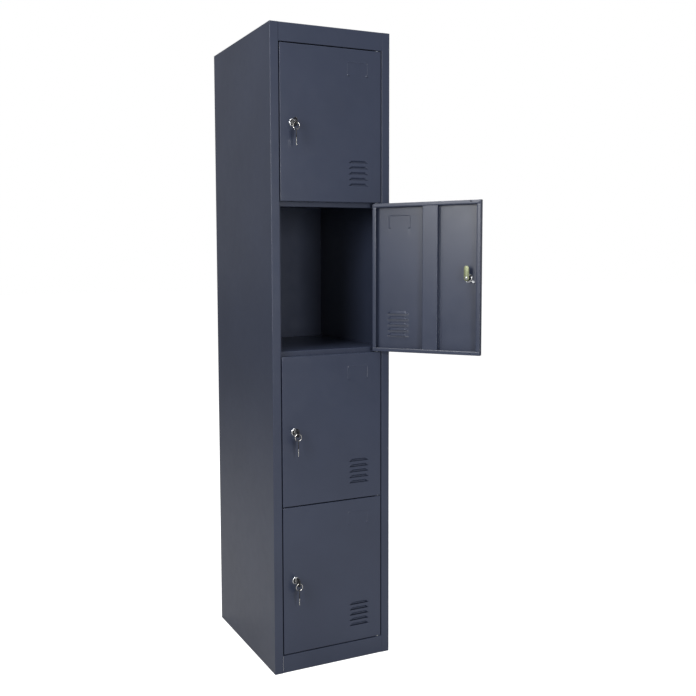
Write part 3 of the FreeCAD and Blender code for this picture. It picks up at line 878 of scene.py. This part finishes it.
BLACK_GRIP = moulded(
    "black_grip", (0.006, 0.006, 0.008), roughness=0.45, grain=0.0005, height=0.00002
)
NICKEL = plated("nickel_plate", (0.74, 0.72, 0.68), roughness=0.20, grain=0.003, mottle=0.12)
GRIP, BLADE, RING = key_grip(), key_blade(), split_ring()

for door in DOORS:
    hole = lock_axis(door) - (0, ROSETTE_TALL + KEY_STANDOFF + GRIP_LONG - KEY_HOLE_FROM_END, 0)
    ring_at = hole - (0, 0, KEY_HOLE - RING_WIRE - RING_PLAY + RING_RADIUS)
    spare_at = ring_at - (0, 0, RING_RADIUS - RING_WIRE - HANG_PLAY + KEY_HOLE)
    for name, node, body, slot, finish, shape, place, where in (
        ("grip", "key", "lock", "key_grip", BLACK_GRIP, GRIP, pointing_back, hole),
        ("blade", "key", "lock", "key_steel", NICKEL, BLADE, pointing_back, hole),
        ("split_ring", "key_ring", "lock", "key_steel", NICKEL, RING, np.array, ring_at),
        ("spare_grip", "spare_key", "spare_key", "key_grip", BLACK_GRIP, GRIP, hanging, spare_at),
        ("spare_blade", "spare_key", "spare_key", "key_steel", NICKEL, BLADE, hanging, spare_at),
    ):
        points = swung(place(shape[0]) + where, door)
        piece = make_piece(f"door_{door}_{name}", points, shape[1], finish)
        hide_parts(f"door_{door}_{node}")
        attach(piece, f"{body}_{door}")


# ---- Studio ------------------------------------------------------------------------------
# A pale floor that runs out to a white surround, with tall soft lights at the left, in front and
# behind, and a square one overhead.

FLOOR_SIZE = 60.0
FLOOR_COLOUR = (0.45, 0.45, 0.45)
FLOOR_ROUGHNESS = 0.9
FLOOR_GLOW = 0.92


def studio_floor():
    """A square sheet in the plane on which the locker stands."""
    half = FLOOR_SIZE / 2
    corners = np.array([[-half, -half, 0], [half, -half, 0], [half, half, 0], [-half, half, 0]])
    paper, tree, shader = new_finish("floor_paper", 0.0)
    shader.inputs["Base Color"].default_value = (*FLOOR_COLOUR, 1)
    shader.inputs["Roughness"].default_value = FLOOR_ROUGHNESS
    shader.inputs["Specular IOR Level"].default_value = 0.0
    shader.inputs["Emission Color"].default_value = (1, 1, 1, 1)
    path = tree.nodes.new("ShaderNodeLightPath")
    glow = spread(tree, path.outputs["Is Camera Ray"], 0.0, FLOOR_GLOW, (0, 1))
    tree.links.new(glow, shader.inputs["Emission Strength"])
    floor = make_piece("studio_floor", corners, [[0, 1, 2, 3]], paper, closed=False)


def soft_light(name, place, target, size, power):
    """A rectangular light aimed from its place to a target."""
    lamp = bpy.data.lights.new(name, "AREA")
    lamp.shape = "RECTANGLE"
    lamp.size, lamp.size_y = size
    lamp.energy = power
    light = bpy.data.objects.new(name, lamp)
    light.location = place
    light.rotation_euler = (Vector(target) - Vector(place)).to_track_quat("-Z", "Y").to_euler()
    bpy.context.scene.collection.objects.link(light)


def white_surround(seen, shed):
    """A world that is white to look at and sheds a weaker light on the locker."""
    world = bpy.data.worlds.new("surround")
    world.use_nodes = True
    tree = world.node_tree
    path = tree.nodes.new("ShaderNodeLightPath")
    strength = tree.nodes.new("ShaderNodeMapRange")
    strength.inputs["To Min"].default_value, strength.inputs["To Max"].default_value = shed, seen
    tree.links.new(path.outputs["Is Camera Ray"], strength.inputs["Value"])
    background = tree.nodes["Background"]
    background.inputs["Color"].default_value = (1, 1, 1, 1)
    tree.links.new(strength.outputs["Result"], background.inputs["Strength"])
    bpy.context.scene.world = world


studio_floor()
white_surround(seen=1.0, shed=0.27)
soft_light("left_softbox", (-3.2, -2.0, 2.4), (0.2, -0.3, 1.2), (1.2, 2.0), 85.0)
soft_light("front_softbox", (0.0, -3.6, 1.3), (0.0, -0.2, 0.4), (0.8, 1.4), 48.0)
soft_light("top_softbox", (-0.5, -0.5, 4.1), (0.1, -0.3, 1.0), (2.0, 2.0), 110.0)
soft_light("back_softbox", (2.6, 2.6, 2.6), (0.0, 0.0, 1.0), (1.2, 2.0), 60.0)
bpy.context.scene.view_settings.view_transform = "Standard"


# ---- Camera ------------------------------------------------------------------------------
# A normal lens at chest height, to the left of the locker and turned to it, with a small shift.

LENS = 44.51
SENSOR = 36.0
CAMERA_PLACE = (-1.14607, -2.43115, 1.19847)
CAMERA_YAW, CAMERA_TILT, CAMERA_ROLL = -23.6355, 85.4756, -0.5123
CAMERA_SHIFT = (0.1045, -0.0287)

lens = bpy.data.cameras.new("camera")
lens.lens, lens.sensor_width = LENS, SENSOR
lens.shift_x, lens.shift_y = CAMERA_SHIFT
lens.clip_end = FLOOR_SIZE
camera = bpy.data.objects.new("camera", lens)
turn = Matrix.Rotation(math.radians(CAMERA_YAW), 4, "Z")
tilt = Matrix.Rotation(math.radians(CAMERA_TILT), 4, "X")
roll = Matrix.Rotation(math.radians(CAMERA_ROLL), 4, "Z")
camera.matrix_world = Matrix.Translation(CAMERA_PLACE) @ turn @ tilt @ roll
bpy.context.scene.collection.objects.link(camera)
bpy.context.scene.camera = camera
